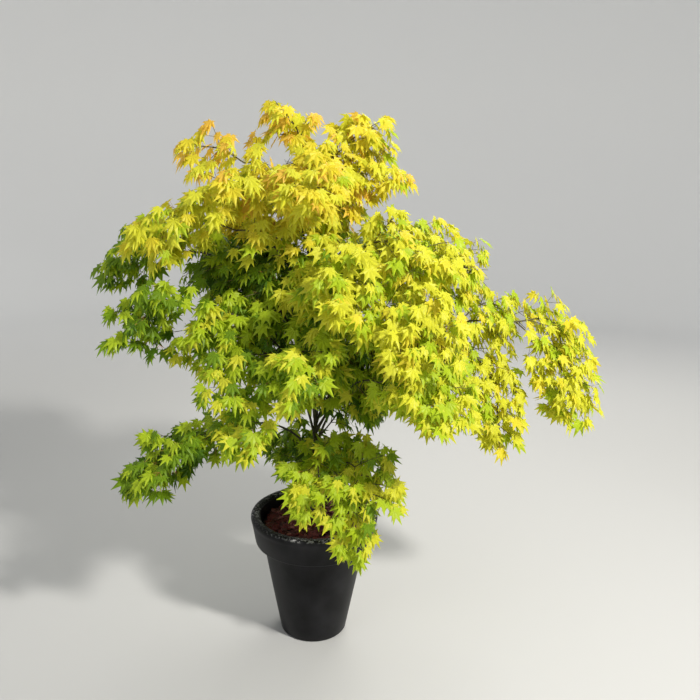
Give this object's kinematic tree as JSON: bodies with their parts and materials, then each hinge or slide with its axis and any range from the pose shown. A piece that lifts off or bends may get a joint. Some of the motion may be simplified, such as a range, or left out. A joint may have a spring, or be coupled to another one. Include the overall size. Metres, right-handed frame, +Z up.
{
  "type": "potted japanese maple",
  "caption": "Young maple tree with drooping layers of lobed gold and lime leaves on one slim trunk, standing in a dark tapered planter with a raised collar.",
  "frame": {"origin": "centre of the pot's flat underside", "axes": "+Z up along the pot's axis and the trunk; +X to the right and +Y away from the viewer in the usual front view"},
  "size_m": [1.8759, 1.1653, 2.0383],
  "materials": {
    "pot_plastic": "charcoal satin plastic, a little dusty",
    "potting_soil": "dark moist compost",
    "bark_mulch": "red-brown bark chips",
    "bark": "smooth olive-brown young bark",
    "leaf_gold": "thin satin leaf, golden with orange tips",
    "leaf_lime": "thin satin leaf, lime green",
    "leaf_green": "thin satin leaf, mid green"
  },
  "bodies": {
    "root": {"pot": "pot_plastic", "potting_soil": "potting_soil", "bark_mulch": "bark_mulch", "trunk": "bark", "limb_skirt": "bark", "limb_low_left": "bark", "limb_right_mid_low": "bark", "limb_back_low": "bark", "limb_right_long": "bark", "limb_left_low": "bark", "limb_back_right_low": "bark", "limb_back_left_low": "bark", "limb_right_mid": "bark", "limb_left_low_far": "bark", "limb_back_middle": "bark", "limb_far_right": "bark", "limb_left_far": "bark", "limb_right_upper_far": "bark", "limb_right_upper": "bark", "limb_left_high": "bark", "limb_back_left_high": "bark", "limb_back_right_high": "bark", "limb_upper_left": "bark", "limb_upper_left_tip": "bark", "spray_crown_tip": "leaf_gold", "spray_crown_right": "leaf_gold", "spray_upper_right": "leaf_gold", "spray_upper_front": "leaf_gold", "spray_upper_back": "leaf_gold", "spray_upper_left": "leaf_gold", "spray_upper_left_tip": "leaf_gold", "spray_left_high": "leaf_lime", "spray_left_far": "leaf_lime", "spray_left_inner": "leaf_lime", "spray_left_low_far": "leaf_lime", "spray_left_mid_low": "leaf_lime", "spray_left_drop": "leaf_lime", "spray_low_left_far": "leaf_green", "spray_low_left_mid": "leaf_green", "spray_centre_low": "leaf_lime", "spray_skirt_left": "leaf_green", "spray_skirt_right": "leaf_green", "spray_skirt_drop": "leaf_green", "spray_skirt_back": "leaf_green", "spray_right_upper": "leaf_lime", "spray_right_upper_far": "leaf_lime", "spray_front_high": "leaf_lime", "spray_right_mid": "leaf_lime", "spray_right_mid_low": "leaf_lime", "spray_right_inner": "leaf_lime", "spray_right_far": "leaf_lime", "spray_right_drop": "leaf_lime", "spray_far_right_top": "leaf_lime", "spray_far_right_drop": "leaf_lime", "spray_back_left_high": "leaf_lime", "spray_back_right_high": "leaf_lime", "spray_back_middle": "leaf_lime", "spray_back_left_low": "leaf_lime", "spray_back_right_low": "leaf_lime", "spray_back_low": "leaf_lime"}
  },
  "joints": []
}
